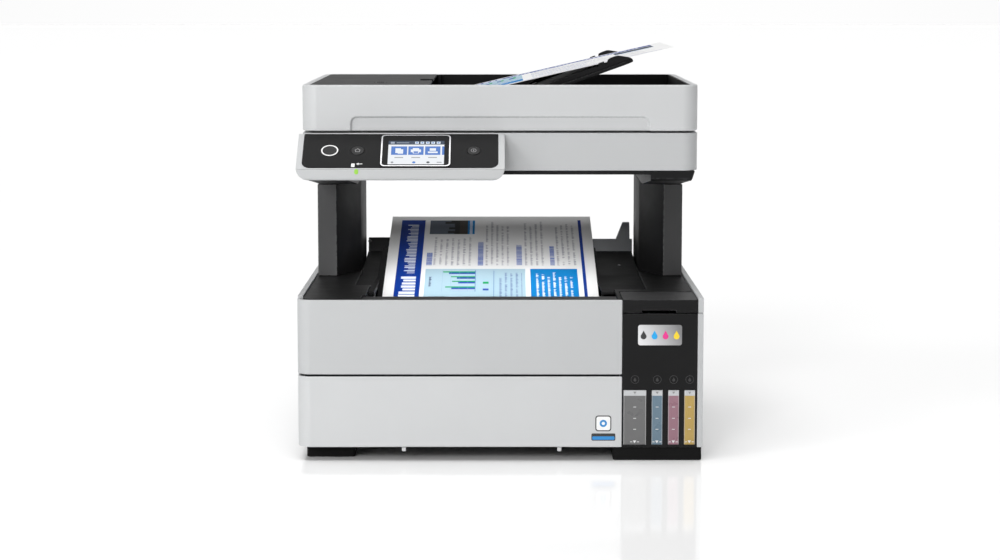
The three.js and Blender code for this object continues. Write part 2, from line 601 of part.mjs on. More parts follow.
// Centre the whole.
const whole = new THREE.Group();
printer.position.set(0, -wholeDepth / 2, 0);
whole.add(printer);
whole.updateMatrixWorld(true);

export default whole;
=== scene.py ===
import bpy
import bmesh
import json
import math
from mathutils import Matrix, Vector

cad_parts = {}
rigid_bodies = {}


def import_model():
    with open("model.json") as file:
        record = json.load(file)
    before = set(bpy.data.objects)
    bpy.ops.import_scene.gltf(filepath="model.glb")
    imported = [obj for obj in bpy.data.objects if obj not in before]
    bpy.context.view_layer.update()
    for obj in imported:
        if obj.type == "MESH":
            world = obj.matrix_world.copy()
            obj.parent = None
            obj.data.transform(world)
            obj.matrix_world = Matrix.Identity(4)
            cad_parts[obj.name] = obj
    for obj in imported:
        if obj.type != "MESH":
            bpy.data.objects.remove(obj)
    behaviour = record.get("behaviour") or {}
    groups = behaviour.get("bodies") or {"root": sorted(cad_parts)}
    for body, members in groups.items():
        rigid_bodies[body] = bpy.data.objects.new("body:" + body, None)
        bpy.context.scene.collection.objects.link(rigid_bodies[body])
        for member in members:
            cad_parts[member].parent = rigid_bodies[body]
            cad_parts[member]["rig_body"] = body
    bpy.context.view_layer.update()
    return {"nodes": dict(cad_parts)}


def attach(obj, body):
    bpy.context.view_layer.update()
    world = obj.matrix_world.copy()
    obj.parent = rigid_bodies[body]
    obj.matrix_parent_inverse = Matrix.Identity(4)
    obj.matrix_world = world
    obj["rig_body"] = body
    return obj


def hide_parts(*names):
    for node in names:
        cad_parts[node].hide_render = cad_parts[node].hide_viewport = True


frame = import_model()
print("frame loaded")

scene = bpy.context.scene

# Pieces are drawn in millimetres with y = 0 at the front face, then moved to the frame.
outSlope = math.radians(13)
outLow = {"y": 69.2075, "z": 127.1}
sheetSize = {"width": 210, "length": 297, "left": -114.2}
backShift = (outLow["y"] + sheetSize["length"] * math.cos(outSlope)) / 2
toFrame = Matrix.Scale(0.001, 4) @ Matrix.Translation((0, -backShift, 0))
panelTilt = math.radians(34.5)
panelFoot = {"y": 1.5, "z": 271.9}
feedTilt = math.radians(19.6)
feedFoot = {"x": -20, "z": 317.3}
documentTilt = math.radians(12.95)
documentTop = {"x": 164.4, "z": 380.1}
lidMiddle = 195.5


def frontAt(y):
    return Matrix.Translation((0, y, 0)) @ Matrix.Rotation(math.radians(90), 4, "X")


def rearAt(y):
    turn = Matrix.Rotation(math.radians(180), 4, "Z") @ Matrix.Rotation(math.radians(90), 4, "X")
    return Matrix.Translation((0, y, 0)) @ turn


onPanel = Matrix.Translation((0, panelFoot["y"], panelFoot["z"])) @ Matrix.Rotation(panelTilt, 4, "X")
onFeed = Matrix.Translation((feedFoot["x"], 0, feedFoot["z"])) @ Matrix.Rotation(-feedTilt, 4, "Y")
onSheet = Matrix.Translation((0, outLow["y"], outLow["z"])) @ Matrix.Rotation(outSlope, 4, "X")
documentPlace = Matrix.Translation((documentTop["x"], 0, documentTop["z"]))
onDocument = documentPlace @ Matrix.Rotation(-documentTilt, 4, "Y")


# Shader maths.
class Term:
    def __init__(self, finish, socket):
        self.finish = finish
        self.socket = socket

    def __add__(self, other):
        return self.finish.maths("ADD", self, other)

    def __radd__(self, other):
        return self.finish.maths("ADD", other, self)

    def __sub__(self, other):
        return self.finish.maths("SUBTRACT", self, other)

    def __rsub__(self, other):
        return self.finish.maths("SUBTRACT", other, self)

    def __mul__(self, other):
        return self.finish.maths("MULTIPLY", self, other)

    def __rmul__(self, other):
        return self.finish.maths("MULTIPLY", other, self)

    def __truediv__(self, other):
        return self.finish.maths("DIVIDE", self, other)

    def __rtruediv__(self, other):
        return self.finish.maths("DIVIDE", other, self)

    def __mod__(self, other):
        return self.finish.maths("FLOORED_MODULO", self, other)

    def __gt__(self, other):
        return self.finish.maths("GREATER_THAN", self, other)

    def __lt__(self, other):
        return self.finish.maths("LESS_THAN", self, other)

    def __or__(self, other):
        return self.finish.maths("MAXIMUM", self, other)

    def __abs__(self):
        return self.finish.maths("ABSOLUTE", self)

    def floor(self):
        return self.finish.maths("FLOOR", self)

    def between(self, low, high):
        return (self > low) * (self < high)

    def clamped(self, low, high):
        middle = self.finish.maths("MAXIMUM", self, low)
        return self.finish.maths("MINIMUM", middle, high)


class Finish:
    def __init__(self, name):
        self.material = bpy.data.materials.new(name)
        self.material.use_nodes = True
        self.tree = self.material.node_tree
        self.tree.nodes.clear()
        self.shader = self.node("ShaderNodeBsdfPrincipled")
        ending = self.node("ShaderNodeOutputMaterial")
        self.tree.links.new(self.shader.outputs[0], ending.inputs["Surface"])
        self.kept = {}

    def plug(self, socket, value):
        if isinstance(value, Term):
            self.tree.links.new(value.socket, socket)
        elif socket.type == "RGBA":
            socket.default_value = (*value[:3], 1)
        else:
            socket.default_value = value

    def node(self, kind, settings=None, sockets=None):
        made = self.tree.nodes.new(kind)
        for key, value in (settings or {}).items():
            setattr(made, key, value)
        for key, value in (sockets or {}).items():
            self.plug(made.inputs[key], value)
        return made

    def maths(self, operation, *values):
        made = self.node("ShaderNodeMath", {"operation": operation}, dict(enumerate(values)))
        return Term(self, made.outputs[0])

    def mix(self, factor, first, second):
        made = self.node("ShaderNodeMix", {"data_type": "RGBA"}, {0: factor, 6: first, 7: second})
        return Term(self, made.outputs[2])

    def paint(self, base, *layers):
        for mask, colour in layers:
            base = self.mix(mask, base, colour)
        return base

    # Object coordinates in millimetres: x across, y back from the front face, z up.
    def place(self):
        if "place" not in self.kept:
            source = self.node("ShaderNodeTexCoord")
            scaled = self.node("ShaderNodeVectorMath", {"operation": "MULTIPLY_ADD"}, {
                0: Term(self, source.outputs["Object"]), 1: (1000, 1000, 1000), 2: (0, backShift, 0)})
            self.kept["place"] = Term(self, scaled.outputs[0])
        return self.kept["place"]

    def axes(self, vector=None):
        parts = self.node("ShaderNodeSeparateXYZ", None, {0: vector or self.place()})
        return [Term(self, parts.outputs[i]) for i in range(3)]

    def page(self):
        return self.axes(Term(self, self.node("ShaderNodeUVMap", {"uv_map": "page"}).outputs[0]))[:2]

    def attribute(self, name):
        made = self.node("ShaderNodeAttribute", {"attribute_name": name})
        return Term(self, made.outputs["Fac"])

    def noise(self, scale, detail=2.0, roughness=0.5, stretch=(1, 1, 1)):
        at = self.place()
        if stretch != (1, 1, 1):
            made = self.node("ShaderNodeVectorMath", {"operation": "MULTIPLY"}, {0: at, 1: stretch})
            at = Term(self, made.outputs[0])
        made = self.node("ShaderNodeTexNoise", None, {
            "Vector": at, "Scale": scale, "Detail": detail, "Roughness": roughness})
        return Term(self, made.outputs[0])

    def dice(self, first, second):
        joined = self.node("ShaderNodeCombineXYZ", None, {0: first, 1: second})
        made = self.node("ShaderNodeTexWhiteNoise", {"noise_dimensions": "2D"},
                         {"Vector": Term(self, joined.outputs[0])})
        return Term(self, made.outputs[0])

    def bump(self, height, distance):
        made = self.node("ShaderNodeBump", None, {
            "Height": height, "Distance": distance * 0.001, "Strength": 1.0})
        self.plug(self.shader.inputs["Normal"], Term(self, made.outputs[0]))

    def set(self, **values):
        for key, value in values.items():
            self.plug(self.shader.inputs[key.replace("_", " ")], value)


def box2(u, v, u0, u1, v0, v1):
    return u.between(u0, u1) * v.between(v0, v1)


def disc2(finish, u, v, u0, v0, radius):
    du = u - u0
    dv = v - v0
    return finish.maths("LESS_THAN", du * du + dv * dv, radius * radius)


# Plain finishes: slow drift of tone, fine grain, smudges and rubbed edges.
plainLooks = {
    "shell": {"low": (0.475, 0.483, 0.488), "high": (0.50, 0.508, 0.513), "bare": (0.58, 0.59, 0.6),
              "rough": 0.42, "grain": 2.2, "relief": 0.012, "spread": 0.10, "rub": 0.35},
    "black_plastic": {"low": (0.006, 0.006, 0.0063), "high": (0.009, 0.009, 0.0094),
                      "bare": (0.04, 0.04, 0.042), "rough": 0.5, "grain": 1.6, "relief": 0.02, "shine": 0.13,
                      "spread": 0.14, "rub": 0.6},
    # Printer cover: black plastic made darker as painted shade in the bay under the scanner, and less shiny.
    "tray_black_painted_shade": {"low": (0.003, 0.003, 0.0032), "high": (0.006, 0.006, 0.0063),
                   "bare": (0.03, 0.03, 0.032), "rough": 0.62, "grain": 1.6, "relief": 0.02, "shine": 0.1,
                   "spread": 0.12, "rub": 0.5},
    # Tank cover top: the black plastic painted lighter as painted light from above.
    "cover_top_painted_light": {"low": (0.024, 0.024, 0.025), "high": (0.032, 0.032, 0.033), "bare": (0.08, 0.08, 0.08),
                  "rough": 0.5, "grain": 1.6, "relief": 0.02, "shine": 0.25, "spread": 0.12, "rub": 0.5},
    "lip_trim": {"low": (0.011, 0.011, 0.0115), "high": (0.017, 0.017, 0.0175), "bare": (0.08, 0.08, 0.08),
                 "rough": 0.5, "grain": 1.8, "relief": 0.02, "shine": 0.3, "spread": 0.12, "rub": 0.5},
    # The shell colour about 12 per cent darker: painted shade on the front panel, sides, scanner housing and
    # control panel.
    "shell_painted_shade": {"low": (0.415, 0.423, 0.428), "high": (0.44, 0.448, 0.453), "bare": (0.52, 0.53, 0.54),
                  "rough": 0.42, "grain": 2.2, "relief": 0.012, "spread": 0.10, "rub": 0.35},
    # Dark grey trim for small marks; on the column fronts the same colour is painted light on the lit front
    # faces.
    "trim": {"low": (0.019, 0.019, 0.02), "high": (0.029, 0.029, 0.03), "bare": (0.12, 0.12, 0.12),
             "rough": 0.45, "grain": 1.8, "relief": 0.02, "spread": 0.12, "rub": 0.5},
    "panel": {"low": (0.01, 0.01, 0.0104), "high": (0.013, 0.013, 0.0134), "bare": (0.05, 0.05, 0.05),
              "shine": 0.08, "rough": 0.5, "grain": 1.4, "relief": 0.01, "spread": 0.12, "rub": 0.4},
    "button": {"low": (0.005, 0.005, 0.0055), "high": (0.008, 0.008, 0.0085), "bare": (0.04, 0.04, 0.04),
               "rough": 0.4, "grain": 2.0, "relief": 0.008, "spread": 0.12, "rub": 0.5, "shine": 0.2},
    "slate": {"low": (0.082, 0.087, 0.094), "high": (0.1, 0.105, 0.112), "bare": (0.17, 0.18, 0.19),
              "rough": 0.48, "grain": 1.6, "relief": 0.025, "spread": 0.12, "rub": 0.5},
    "rubber": {"low": (0.004, 0.004, 0.004), "high": (0.008, 0.008, 0.008), "bare": (0.03, 0.03, 0.03),
               "shine": 0.12, "rough": 0.8, "grain": 1.2, "relief": 0.05, "spread": 0.12, "rub": 0.6},
    "steel": {"low": (0.46, 0.47, 0.48), "high": (0.56, 0.57, 0.58), "bare": (0.72, 0.72, 0.72),
              "rough": 0.32, "grain": 1.2, "relief": 0.008, "spread": 0.18, "rub": 0.6, "metal": 1,
              "stretch": (0.04, 1, 1)},
    "foam": {"low": (0.72, 0.72, 0.7), "high": (0.8, 0.8, 0.78), "bare": (0.6, 0.6, 0.58),
             "rough": 0.9, "grain": 0.9, "relief": 0.2, "spread": 0.06, "rub": 0.3},
    "power_case": {"low": (0.42, 0.42, 0.41), "high": (0.5, 0.5, 0.49), "bare": (0.7, 0.7, 0.7),
                   "rough": 0.4, "grain": 0.5, "relief": 0.03, "spread": 0.2, "rub": 0.6, "metal": 1},
    "silver": {"low": (0.44, 0.44, 0.45), "high": (0.52, 0.52, 0.53), "bare": (0.75, 0.75, 0.75),
               "rough": 0.3, "grain": 3.0, "relief": 0.006, "spread": 0.14, "rub": 0.5, "metal": 1,
               "stretch": (0.06, 1, 1)},
    "white_mark": {"low": (0.7, 0.7, 0.7), "high": (0.8, 0.8, 0.8), "bare": (0.4, 0.4, 0.4),
                   "rough": 0.5, "grain": 2.0, "relief": 0.004, "spread": 0.1, "rub": 0.3},
    "grey_mark": {"low": (0.22, 0.22, 0.225), "high": (0.27, 0.27, 0.275), "bare": (0.1, 0.1, 0.1),
                  "rough": 0.5, "grain": 2.0, "relief": 0.004, "spread": 0.1, "rub": 0.3},
}


def plainFinish(name, look):
    made = Finish(name)
    drift = made.noise(0.018, 3)
    smudge = made.noise(0.06, 4, 0.6)
    grain = made.noise(look["grain"], 2, 0.5, look.get("stretch", (1, 1, 1)))
    rubbed = made.attribute("rub") * made.noise(0.4, 5, 0.65).between(0.5, 2) * look["rub"]
    base = made.mix(drift, look["low"], look["high"])
    base = made.mix(rubbed, base, look["bare"])
    made.set(Base_Color=base, Metallic=look.get("metal", 0), Specular_IOR_Level=look.get("shine", 0.5),
             Roughness=(look["rough"] + (smudge - 0.5) * look["spread"] - rubbed * 0.08).clamped(0.04, 1))
    made.bump(grain + smudge * 0.4, look["relief"])
    return made


finishes = {name: plainFinish(name, look) for name, look in plainLooks.items()}


def glassFinish():
    made = Finish("glass")
    smear = made.noise(0.05, 4, 0.6)
    dust = (made.noise(1.5, 3) > 0.66) * 0.3
    made.set(Base_Color=made.mix(dust, (0.10, 0.12, 0.12), (0.4, 0.4, 0.4)), Metallic=0,
             Roughness=0.04 + smear * 0.1 + dust * 0.3, Coat_Weight=0.5)
    made.bump(smear, 0.01)
    return made


def boardFinish():
    made = Finish("board")
    _, y, z = made.axes()
    mask = made.noise(0.3, 2)
    track = ((y % 3.2) < 0.9) * (made.dice((y / 3.2).floor(), (z / 14).floor()) > 0.45)
    pads = ((y % 6) < 1.2) * ((z % 5) < 1.2) * (made.dice((y / 6).floor(), (z / 5).floor()) > 0.6)
    base = made.paint(made.mix(mask, (0.01, 0.09, 0.035), (0.015, 0.12, 0.05)),
                      (track, (0.02, 0.16, 0.07)), (pads, (0.6, 0.5, 0.25)))
    made.set(Base_Color=base, Roughness=0.35 + mask * 0.2, Metallic=pads * 0.9)
    made.bump(track * 0.3 + pads + mask * 0.2, 0.05)
    return made


finishes["glass"] = glassFinish()
finishes["board"] = boardFinish()

# Ink seen through its window: a pale empty band on top, level marks and small arrows.
inkLooks = {
    "ink_black": {"ink": (0.108, 0.108, 0.109), "x": (113.9, 135.4)},
    "ink_cyan": {"ink": (0.095, 0.157, 0.208), "x": (140, 150.6)},
    "ink_magenta": {"ink": (0.24, 0.117, 0.152), "x": (155.2, 165.8)},
    "ink_yellow": {"ink": (0.397, 0.265, 0.057), "x": (170.1, 180.6)},
}
levelLook = {"top": 61.2, "marks": (50.6, 40, 29.7), "band": (0.46, 0.47, 0.48), "mark": (0.62, 0.62, 0.62),
             "side": (0.6, 0.6, 0.6), "arrow": (0.2, 0.2, 0.2), "foot": (17.6, 18.2), "low": (16.6, 19.2),
             "high": (62.6, 65.0), "front": 3.3, "slope": 0.6}


def inkFinish(name, look):
    made = Finish(name)
    x, y, z = made.axes()
    left, right = look["x"]
    middle = (left + right) / 2
    swirl = made.noise(0.12, 4)
    dark = tuple(0.86 * c for c in look["ink"])
    shade = made.mix(((z - 15) / 50).clamped(0, 1), dark, look["ink"])
    fill = made.mix(swirl, shade, look["ink"])
    side = (abs(x - middle) > (right - left) / 2 - 1.0) * 0.35
    marks = None
    for height in levelLook["marks"]:
        dash = box2(x, z, middle - 1.3, middle + 1.3, height - 0.3, height + 0.3)
        marks = dash if marks is None else marks | dash
    foot = abs(x - middle).between(2.2, 4.2) * z.between(*levelLook["foot"])
    lowArrow, highArrow = [z.between(*rows) * (abs(x - middle) < (z - rows[0]) * levelLook["slope"])
                           for rows in (levelLook["low"], levelLook["high"])]
    front = y < levelLook["front"]
    base = made.paint(fill, (z > levelLook["top"], levelLook["band"]), (side, levelLook["side"]),
                      ((marks | foot | lowArrow) * front, levelLook["mark"]),
                      (highArrow * front, levelLook["arrow"]))
    made.set(Base_Color=base, Roughness=0.22 + made.noise(0.08, 3) * 0.14, Coat_Weight=0.35)
    made.bump(made.noise(0.5, 2), 0.02)
    return made


for name, look in inkLooks.items():
    finishes[name] = inkFinish(name, look)
print("plain finishes made")

# Printed page: u across from the left margin, v down from the top, millimetres.
pageLook = {
    "paper": (0.80, 0.80, 0.80), "navy": (0.002, 0.032, 0.25), "blue": (0.004, 0.19, 0.5),
    "pale": (0.37, 0.52, 0.61), "text": (0.25, 0.26, 0.30), "head": (0.03, 0.10, 0.42),
    "green": (0.0, 0.33, 0.09), "bar": (0.02, 0.06, 0.35), "letter": (0.75, 0.8, 0.9),
    "dusk": (0.10, 0.12, 0.15), "hill": (0.02, 0.022, 0.02), "shore": (0.05, 0.045, 0.04),
    # areas: u0, u1, v0, v1
    "banner": (10.6, 35.5, 12.2, 285), "bold": (15, 31, 188, 285), "title": (17, 29, 26, 180),
    "view": (40.8, 80.5, 13.1, 58), "caption": (80.5, 87.8, 13.1, 58), "chart": (39.8, 139.4, 166.3, 285),
    "blueBox": (144.4, 191.2, 166.3, 285), "edgeRule": (196.3, 199.5, 12.2, 285),
    "gridArea": (56.5, 84, 170, 232), "axis": (89.5, 90.1, 170, 232), "rule": (107.8, 108.4, 172, 280),
    "greenKey": (97.3, 103, 204, 210), "blueKey": (97.3, 103, 223.6, 229),
    "chartText": (113.6, 136, 178, 282, 5.4), "chartTitle": (44, 50, 186, 218, 6),
    "blueText": (150, 188, 176, 280, 5.6),
    # heads: u0, u1, v0, v1; blocks add the pitch of their lines; bars: v0, v1, tip
    "heads": ((39.8, 45.6, 117, 156), (91.7, 97.3, 83, 156), (130.8, 136.5, 93, 156),
              (164.8, 169.4, 96.6, 156)),
    "blocks": ((47, 87, 66, 156, 5.9), (99.6, 126.6, 13, 156, 5.4), (139.4, 159, 15, 156, 5.6),
               (171.8, 192, 15, 156, 5.6)),
    "bars": ((173.8, 179.6, 57.5), (188, 193.6, 65.5), (201.4, 207, 67), (217.6, 223.4, 60.5)),
}


def textLines(finish, u, v, block, letter=0.85):
    u0, u1, v0, v1, pitch = block
    row = ((u - u0) / pitch).floor()
    ragged = v0 + finish.dice(row, 3.7 + u0) * (v1 - v0) * 0.16
    within = (u - u0) % pitch
    tall = finish.dice(row + u0, (v / letter).floor())
    body = (within < pitch * (0.22 + 0.26 * tall)) * box2(u, v, u0, u1, v0, v1) * (v > ragged)
    words = finish.dice(row + u0 + 0.5, (v / (letter * 3.1)).floor()) > 0.1
    return body * words * (0.45 + 0.55 * tall)


def pageFinish(name, tone):
    made = Finish(name)
    u, v = made.page()
    area = {key: box2(u, v, *pageLook[key]) for key in
            ("banner", "bold", "title", "view", "caption", "chart", "blueBox", "edgeRule", "gridArea",
             "axis", "rule", "greenKey", "blueKey")}
    # Rows of uneven blocks stand for the large and the small line of the banner.
    wide = made.dice((v / 8.6).floor(), 1.0)
    fine = made.dice((v / 4.6).floor(), 5.0)
    large = area["bold"] * ((v % 8.6) < 5.2 + wide * 1.6) * (u > 19 - wide * 4)
    small = area["title"] * ((v % 4.6) < 1.7 + fine) * (u > 22.5 - fine * 5)
    small = small * (made.dice((v / 26).floor(), 2.0) > 0.1)
    hill = area["view"] * (u > 60 + (made.dice((v / 6).floor(), 9.0) - 0.5) * 18)
    shore = area["view"] * (u > 72)
    captionText = area["caption"] * u.between(82.5, 85.5) * ((v % 2.4) < 1.5)
    base = made.paint(pageLook["paper"], (area["banner"], pageLook["navy"]),
                      (large | small, pageLook["letter"]), (area["view"], pageLook["dusk"]),
                      (hill, pageLook["hill"]), (shore, pageLook["shore"]),
                      (area["caption"], pageLook["blue"]), (captionText, (0.8, 0.85, 0.95)),
                      (area["chart"], pageLook["pale"]), (area["blueBox"], pageLook["blue"]),
                      (area["edgeRule"], pageLook["navy"]))
    for block in pageLook["blocks"]:
        base = made.mix(textLines(made, u, v, block) * 0.75, base, pageLook["text"])
    for u0, u1, v0, v1 in pageLook["heads"]:
        mask = box2(u, v, u0, u1, v0, v1) * ((v % 3.4) < 2.0 + made.dice(u0, (v / 3.4).floor()))
        base = made.mix(mask * 0.9, base, pageLook["head"])
    for v0, v1, tip in pageLook["bars"]:
        split = v0 + (v1 - v0) * 0.55
        base = made.paint(base, (box2(u, v, tip, 89.7, v0, split), pageLook["green"]),
                          (box2(u, v, tip + 6, 89.7, split, v1 + 2), pageLook["bar"]))
    grid = ((u - 57) % 8.4 < 0.35) * area["gridArea"]
    base = made.paint(base, (grid * 0.5, (0.2, 0.35, 0.5)), (area["axis"] | area["rule"], (0.1, 0.2, 0.4)),
                      (area["greenKey"], pageLook["green"]), (area["blueKey"], pageLook["bar"]))
    base = made.mix(textLines(made, u, v, pageLook["chartText"]) * 0.7, base, (0.08, 0.12, 0.3))
    base = made.mix(textLines(made, u, v, pageLook["chartTitle"], 1.4), base, (0.02, 0.03, 0.1))
    base = made.mix(textLines(made, u, v, pageLook["blueText"], 1.1) * 0.85, base, (0.85, 0.9, 0.95))
    fibre = made.noise(0.7, 4, 0.6)
    base = made.mix(fibre * 0.06, base, (0.04, 0.04, 0.04))
    # tone darkens the whole page; on the printed sheet this is painted shade from the scanner above it.
    base = made.mix(tone, (0, 0, 0), base)
    made.set(Base_Color=base, Roughness=0.55 + fibre * 0.2, Specular_IOR_Level=0.05)
    made.bump(fibre, 0.03)
    return made


# The printed sheet is painted darker than the document (tone 0.72): painted shade in the bay under the
# scanner.
finishes["print"] = pageFinish("print", 0.72)
finishes["document"] = pageFinish("document", 1.0)
print("page finish made")

# Display: u across, v up the tilted face.
screenLook = {
    "left": -103, "right": -51.4, "low": 4.4, "high": 39.0, "bar": 33.4,
    "white": (0.86, 0.89, 0.93), "tile": (0.05, 0.18, 0.58), "dark": (0.03, 0.05, 0.09),
    "lit": (0.75, 0.85, 0.95), "icon": (0.85, 0.9, 0.97), "caption": (0.35, 0.37, 0.4),
    "tiles": ((-100.3, -85.6), (-84.5, -70.4), (-69, -54.9), (-53.4, -51.4)), "tileRow": (18.2, 30.8),
    "chips": (-78.5, -73.5, -68.5, -63.5, -58.5),
    # areas: left, right, low, high
    "icons": ((-96.4, -91.4, 21, 28), (-94.2, -89.2, 20, 26.4), (-82.2, -72.8, 22.2, 26.2),
              (-80.4, -74.6, 20.4, 28.2), (-66.4, -57.4, 20.8, 23.2), (-64.8, -59.0, 24.2, 28.0)),
    "slot": (-79.6, -75.4, 21, 23.4),
    "words": (((-101, -97.5, 34.8, 37.6), (0.35, 0.4, 0.5)), ((-95.5, -84, 35.6, 36.7), (0.25, 0.3, 0.38)),
              ((-58, -53.5, 6.4, 8.0), (0.4, 0.42, 0.45))),
    # dots: across, up, radius, colour
    "dots": ((-99, 7.2, 1.3, (0.3, 0.32, 0.35)), (-79, 7.2, 1.5, (0.05, 0.2, 0.6)),
             (-66, 7.2, 1.5, (0.06, 0.07, 0.08))),
}


def screenFinish():
    made = Finish("display")
    u, y, z = made.axes()
    v = (y - panelFoot["y"]) * math.cos(panelTilt) + (z - panelFoot["z"]) * math.sin(panelTilt)
    tile = screenLook["tile"]
    base = made.paint(screenLook["white"], (v > screenLook["bar"], screenLook["dark"]))
    for left in screenLook["chips"]:
        base = made.paint(base, (box2(u, v, left, left + 3.4, 34.6, 37.8), screenLook["lit"]),
                          (box2(u, v, left + 0.9, left + 2.5, 35.5, 36.9), tile))
    for area, colour in screenLook["words"]:
        base = made.mix(box2(u, v, *area), base, colour)
    for left, right in screenLook["tiles"]:
        middle = (left + right) / 2
        base = made.mix(box2(u, v, left, right, *screenLook["tileRow"]), base, tile)
        if right - left > 5:
            base = made.mix(box2(u, v, middle - 4, middle + 4, 13.6, 15.0), base, screenLook["caption"])
    for area in screenLook["icons"]:
        base = made.mix(box2(u, v, *area), base, screenLook["icon"])
    base = made.mix(box2(u, v, *screenLook["slot"]), base, tile)
    for across, up, radius, colour in screenLook["dots"]:
        base = made.mix(disc2(made, u, v, across, up, radius), base, colour)
    ghost = made.noise(0.2, 3)
    made.set(Base_Color=made.mix(0.96, base, (0.01, 0.01, 0.01)), Emission_Color=base,
             Roughness=0.2 + ghost * 0.1, Emission_Strength=0.88, Specular_IOR_Level=0.2)
    made.bump(ghost, 0.004)
    return made


def lampFinish(name, colour, strength):
    made = Finish(name)
    flicker = made.noise(0.6, 2)
    made.set(Base_Color=made.mix(flicker, colour, tuple(0.8 * c for c in colour)),
             Emission_Color=made.mix(flicker, colour, tuple(0.85 * c for c in colour)),
             Emission_Strength=strength, Roughness=0.25 + flicker * 0.1)
    made.bump(flicker, 0.005)
    return made


badgeLook = {"left": 127, "width": 41, "middle": 118, "lean": 0.012,
             "light": (0.72, 0.72, 0.73), "dark": (0.16, 0.16, 0.165)}


def badgeFinish():
    made = Finish("badge")
    x, _, z = made.axes()
    lean = (z - badgeLook["middle"]) * badgeLook["lean"]
    across = ((x - badgeLook["left"]) / badgeLook["width"] + lean).clamped(0, 1)
    grain = made.noise(2.5, 2, 0.5, (0.06, 1, 1))
    base = made.mix(across, badgeLook["light"], badgeLook["dark"])
    made.set(Base_Color=made.mix(grain * 0.2, base, (0.5, 0.5, 0.5)), Metallic=0.35,
             Roughness=0.28 + grain * 0.15)
    made.bump(grain, 0.01)
    return made


finishes["badge"] = badgeFinish()
finishes["display"] = screenFinish()
finishes["lamp"] = lampFinish("lamp", (0.25, 0.50, 0.05), 0.25)


def dyeFinish(name, colour):
    made = Finish(name)
    tone = made.noise(0.5, 3)
    made.set(Base_Color=made.mix(tone, colour, tuple(0.85 * c for c in colour)),
             Roughness=0.3 + tone * 0.15, Coat_Weight=0.2)
    made.bump(tone, 0.01)
    return made


dyes = {"dye_cyan": (0.0, 0.35, 0.75), "dye_magenta": (0.75, 0.02, 0.25), "dye_yellow": (0.85, 0.62, 0.02),
        "dye_black": (0.02, 0.02, 0.02), "dye_blue": (0.01, 0.22, 0.55)}
for name, colour in dyes.items():
    finishes[name] = dyeFinish(name, colour)
print("finishes ready")


# Building helpers; angles in degrees.
smoothAngle = 38
roundedAngle = 28
ringSides = 56


class Sculpt:
    def __init__(self):
        self.bm = bmesh.new()

    def take(self, part, matrix=None, index=0):
        bmesh.ops.recalc_face_normals(part, faces=part.faces)
        if matrix:
            bmesh.ops.transform(part, matrix=matrix, verts=part.verts)
        for face in part.faces:
            face.material_index = index
        held = bpy.data.meshes.new("held")
        part.to_mesh(held)
        part.free()
        self.bm.from_mesh(held)
        bpy.data.meshes.remove(held)

    def soften(self, part, edge, segments=2, angle=40):
        if not edge:
            return
        sharp = [e for e in part.edges
                 if len(e.link_faces) == 2 and e.calc_face_angle(0) > math.radians(angle)]
        bmesh.ops.bevel(part, geom=sharp, offset=edge, offset_type="OFFSET", segments=segments,
                        profile=0.5, affect="EDGES", material=-1, clamp_overlap=True)

    def block(self, low, high, edge=0.0, matrix=None, index=0):
        part = bmesh.new()
        bmesh.ops.create_cube(part, size=1)
        size = [b - a for a, b in zip(low, high)]
        middle = [(a + b) / 2 for a, b in zip(low, high)]
        bmesh.ops.scale(part, vec=size, verts=part.verts)
        bmesh.ops.translate(part, vec=middle, verts=part.verts)
        self.soften(part, edge)
        self.take(part, matrix, index)

    def outline(self, points, low, high, edge=0.0, matrix=None, index=0, segments=2, angle=50):
        part = bmesh.new()
        face = part.faces.new([part.verts.new((x, y, low)) for x, y in points])
        raised = bmesh.ops.extrude_face_region(part, geom=[face])["geom"]
        moved = [v for v in raised if isinstance(v, bmesh.types.BMVert)]
        bmesh.ops.translate(part, vec=(0, 0, high - low), verts=moved)
        bmesh.ops.recalc_face_normals(part, faces=part.faces)
        self.soften(part, edge, segments, angle)
        self.take(part, matrix, index)

    def disc(self, x, y, radius, low, high, edge=0.0, matrix=None, index=0, sides=40):
        points = [(x + radius * math.cos(math.tau * i / sides), y + radius * math.sin(math.tau * i / sides))
                  for i in range(sides)]
        self.outline(points, low, high, edge, matrix, index)

    def ring(self, x, y, inner, outer, low, high, matrix=None):
        part = bmesh.new()
        corners = [part.verts.new((r, 0, h)) for r, h in
                   ((inner, low), (outer, low), (outer, high), (inner, high))]
        loop = [part.edges.new((corners[i], corners[(i + 1) % 4])) for i in range(4)]
        bmesh.ops.spin(part, geom=corners + loop, cent=(0, 0, 0), axis=(0, 0, 1), angle=math.tau,
                       steps=ringSides, use_merge=True)
        bmesh.ops.translate(part, vec=(x, y, 0), verts=part.verts)
        self.take(part, matrix)


def roundPoints(x0, x1, y0, y1, radius, steps=5):
    points = []
    for cx, cy, start in ((x1 - radius, y0 + radius, -90), (x1 - radius, y1 - radius, 0),
                          (x0 + radius, y1 - radius, 90), (x0 + radius, y0 + radius, 180)):
        for i in range(steps + 1):
            turn = math.radians(start + 90 * i / steps)
            points.append((cx + radius * math.cos(turn), cy + radius * math.sin(turn)))
    return points


def finishMesh(bm, name, looks, body):
    mesh = bpy.data.meshes.new(name)
    for edge in bm.edges:
        edge.smooth = edge.calc_face_angle(math.pi) < math.radians(smoothAngle)
    for face in bm.faces:
        face.smooth = True
    bm.to_mesh(mesh)
    bm.free()
    for look in looks:
        mesh.materials.append(finishes[look].material)
    made = bpy.data.objects.new(name, mesh)
    scene.collection.objects.link(made)
    weighted = made.modifiers.new("weighted", "WEIGHTED_NORMAL")
    weighted.keep_sharp = True
    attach(made, body)
    return made


def detail(name, sculpt, looks, body, slotName):
    bmesh.ops.transform(sculpt.bm, matrix=toFrame, verts=sculpt.bm.verts)
    return finishMesh(sculpt.bm, name, looks, body)


